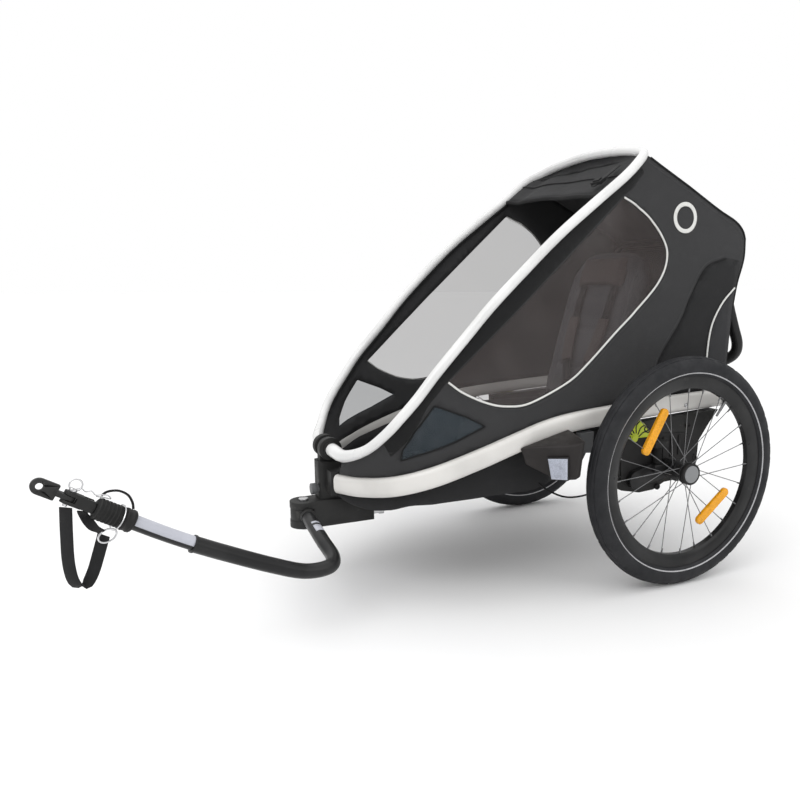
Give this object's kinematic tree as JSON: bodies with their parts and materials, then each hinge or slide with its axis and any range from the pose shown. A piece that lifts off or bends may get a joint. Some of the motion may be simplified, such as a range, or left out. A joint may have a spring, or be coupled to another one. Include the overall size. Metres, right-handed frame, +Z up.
{
  "type": "child bicycle trailer",
  "caption": "Child bicycle trailer with a folding hoop frame, fabric cabin, sprung spoked wheels and a bent side tow arm.",
  "frame": {"origin": "centre of the object's footprint box on the ground, in the cabin's mirror plane", "axes": "+Z up; -Y forward, towards the towing bicycle; +X towards the side that carries the tow arm"},
  "size_m": [0.707, 1.506, 0.955],
  "materials": {
    "white_frame": "glossy white paint",
    "white_rail": "satin warm white paint",
    "bare_metal": "brushed",
    "cast_black": "satin black coating on a casting",
    "black_tube": "satin black powder coat",
    "black_plastic": "moulded black plastic with a fine grain",
    "grey_plastic": "moulded grey plastic",
    "lime_plastic": "yellow-green moulded plastic",
    "clear_reflector": "clear prismatic reflector",
    "amber_reflector": "amber prismatic reflector",
    "tyre_rubber": "black rubber with a fine tread",
    "rim_black": "black anodised",
    "spoke_steel": "drawn steel wire",
    "soft_rubber": "soft black rubber",
    "grip_foam": "closed-cell foam",
    "webbing": "woven black webbing",
    "side_fabric": "charcoal woven polyester",
    "dark_fabric": "dark coated polyester",
    "seat_fabric": "padded grey polyester",
    "window_film": "tinted flexible film"
  },
  "bodies": {
    "chassis": {"side_rail_left": "white_rail", "side_rail_right": "white_rail", "rail_end_caps": "bare_metal", "nose_casting": "cast_black", "drawbar_base": "cast_black", "pivot_bolts": "bare_metal", "axle_beam": "black_tube", "rear_cross_tube": "black_tube", "floor_tray": "dark_fabric", "wheel_guard_left": "black_plastic", "wheel_guard_right": "black_plastic", "front_reflectors": "clear_reflector", "suspension_housing_left": "cast_black", "suspension_housing_right": "cast_black", "spring_left": "soft_rubber", "spring_right": "soft_rubber", "brake_cable": "soft_rubber", "seat_cushion": "seat_fabric", "seat_back": "seat_fabric", "harness": "webbing"},
    "release_knob": {"release_knob": "grey_plastic"},
    "load_dial_left": {"load_dial_left": "lime_plastic"},
    "load_dial_right": {"load_dial_right": "lime_plastic"},
    "swing_arm_left": {"swing_arm_left": "black_tube"},
    "swing_arm_right": {"swing_arm_right": "black_tube"},
    "wheel_left": {"tyre_left": "tyre_rubber", "rim_left": "rim_black", "spokes_left": "spoke_steel", "hub_left": "rim_black", "hub_cap_left": "black_plastic", "wheel_reflectors_left": "amber_reflector"},
    "wheel_right": {"tyre_right": "tyre_rubber", "rim_right": "rim_black", "spokes_right": "spoke_steel", "hub_right": "rim_black", "hub_cap_right": "black_plastic", "wheel_reflectors_right": "amber_reflector"},
    "release_button_left": {"release_button_left": "grey_plastic"},
    "release_button_right": {"release_button_right": "grey_plastic"},
    "hoop": {"front_hoop": "white_frame", "hoop_knuckle": "cast_black", "visor": "side_fabric", "roof_panel": "side_fabric", "side_panel_left": "side_fabric", "side_panel_right": "side_fabric", "side_windows": "window_film"},
    "rear_frame": {"rear_frame": "black_tube", "rear_panel": "dark_fabric", "handle_knobs": "black_plastic"},
    "push_handle": {"push_handle": "black_tube", "handle_grip": "grip_foam"},
    "tow_arm": {"arm_knuckle": "black_tube", "tow_arm": "black_tube", "inner_tow_arm": "black_tube", "arm_collar": "black_plastic", "flex_coupler": "soft_rubber", "safety_strap": "webbing"},
    "hitch_clevis": {"hitch_clevis": "cast_black"},
    "hitch_link": {"hitch_link": "cast_black"},
    "hitch_pin": {"hitch_pin": "bare_metal"}
  },
  "joints": [
    {"name": "frame_fold", "type": "hinge", "parent": "chassis", "child": "hoop", "pos_m": [0, -0.2186, 0.307], "axis": [-1, 0, 0], "range_deg": [0, 34], "deforming": ["side_panel_left", "side_panel_right", "side_windows", "roof_panel", "visor", "seat_back", "harness"]},
    {"name": "rear_frame_fold", "type": "hinge", "parent": "chassis", "child": "rear_frame", "pos_m": [0, 0.6424, 0.391], "axis": [1, 0, 0], "range_deg": [0, 85]},
    {"name": "handle_swing", "type": "hinge", "parent": "rear_frame", "child": "push_handle", "pos_m": [0, 0.6884, 0.648], "axis": [1, 0, 0], "range_deg": [0, 140]},
    {"name": "release_knob_press", "type": "slide", "parent": "chassis", "child": "release_knob", "axis": [0, 1, 0], "range_m": [0, 0.005], "stiffness_N_per_m": 800, "springref_m": -0.002},
    {"name": "arm_fold", "type": "hinge", "parent": "chassis", "child": "tow_arm", "pos_m": [0, -0.2736, 0.17], "axis": [0, 0, 1], "range_deg": [-160, 0]},
    {"name": "coupler_flex", "type": "hinge", "parent": "tow_arm", "child": "hitch_clevis", "pos_m": [0.29066, -0.67804, 0.31833], "axis": [0.9893, 0.1461, 0], "range_deg": [-25, 25], "stiffness_Nm_per_rad": 6, "deforming": ["safety_strap"]},
    {"name": "hitch_yaw", "type": "hinge", "parent": "hitch_clevis", "child": "hitch_link", "pos_m": [0.29438, -0.70321, 0.33423], "axis": [0.0774, -0.5242, -0.848], "range_deg": [-35, 35]},
    {"name": "hitch_pin_pull", "type": "slide", "parent": "hitch_clevis", "child": "hitch_pin", "axis": [-0.0774, 0.5242, 0.848], "range_m": [0, 0.02]},
    {"name": "suspension_left", "type": "hinge", "parent": "chassis", "child": "swing_arm_left", "pos_m": [0, 0.3844, 0.232], "axis": [1, 0, 0], "range_deg": [0, 12], "stiffness_Nm_per_rad": 150, "springref_deg": -17.19, "deforming": ["spring_left"]},
    {"name": "wheel_left_spin", "type": "hinge", "parent": "swing_arm_left", "child": "wheel_left", "pos_m": [0.328, 0.4724, 0.25], "axis": [1, 0, 0], "continuous": true},
    {"name": "release_button_left_press", "type": "slide", "parent": "wheel_left", "child": "release_button_left", "axis": [-1, 0, 0], "range_m": [0, 0.002], "stiffness_N_per_m": 1500, "springref_m": -0.001},
    {"name": "load_dial_left_turn", "type": "hinge", "parent": "chassis", "child": "load_dial_left", "pos_m": [0.272, 0.3814, 0.322], "axis": [1, 0, 0], "range_deg": [0, 40]},
    {"name": "suspension_right", "type": "hinge", "parent": "chassis", "child": "swing_arm_right", "pos_m": [0, 0.3844, 0.232], "axis": [1, 0, 0], "range_deg": [0, 12], "stiffness_Nm_per_rad": 150, "springref_deg": -17.19, "deforming": ["spring_right"]},
    {"name": "wheel_right_spin", "type": "hinge", "parent": "swing_arm_right", "child": "wheel_right", "pos_m": [-0.328, 0.4724, 0.25], "axis": [1, 0, 0], "continuous": true},
    {"name": "release_button_right_press", "type": "slide", "parent": "wheel_right", "child": "release_button_right", "axis": [1, 0, 0], "range_m": [0, 0.002], "stiffness_N_per_m": 1500, "springref_m": -0.001},
    {"name": "load_dial_right_turn", "type": "hinge", "parent": "chassis", "child": "load_dial_right", "pos_m": [-0.272, 0.3814, 0.322], "axis": [1, 0, 0], "range_deg": [0, 40]}
  ],
  "couplings": [
    {"joint": "rear_frame_fold", "follows": "frame_fold", "ratio": 2.5}
  ]
}
